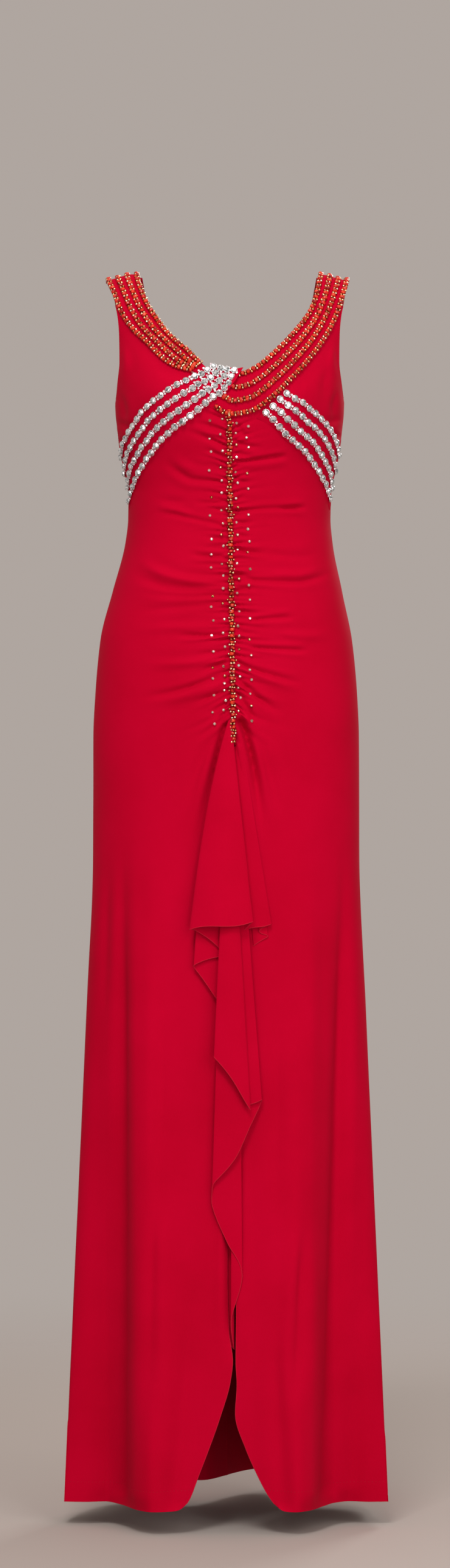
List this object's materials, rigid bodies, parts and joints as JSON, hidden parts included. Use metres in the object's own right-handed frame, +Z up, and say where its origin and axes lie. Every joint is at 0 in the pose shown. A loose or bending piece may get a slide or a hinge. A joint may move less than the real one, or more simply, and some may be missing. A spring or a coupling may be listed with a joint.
{
  "type": "evening gown",
  "caption": "Sleeveless floor-length evening gown with beaded straps, crossed rhinestone bands, a gathered centre seam, a cascade flounce and a front slit, in its worn form.",
  "frame": {"origin": "the point between the tops of the two shoulder straps, where the wearer's shoulders carry the gown", "axes": "+Z up along the wearer, -Y towards the front of the gown, +X towards the wearer's left"},
  "size_m": [0.4082, 0.4002, 1.5505],
  "materials": {
    "crepe": "matte red crepe with a soft sheen",
    "beads": "red and bronze glass beads",
    "rhinestones": "clear cut stones in silver rims"
  },
  "bodies": {
    "root": {"front_left": "crepe", "front_right": "crepe", "back_left": "crepe", "back_right": "crepe", "cup_left": "crepe", "cup_right": "crepe", "strap_left": "beads", "strap_right": "beads", "band_left": "rhinestones", "band_right": "rhinestones", "cascade_tongue": "crepe", "cascade_fall": "crepe"}
  },
  "joints": []
}
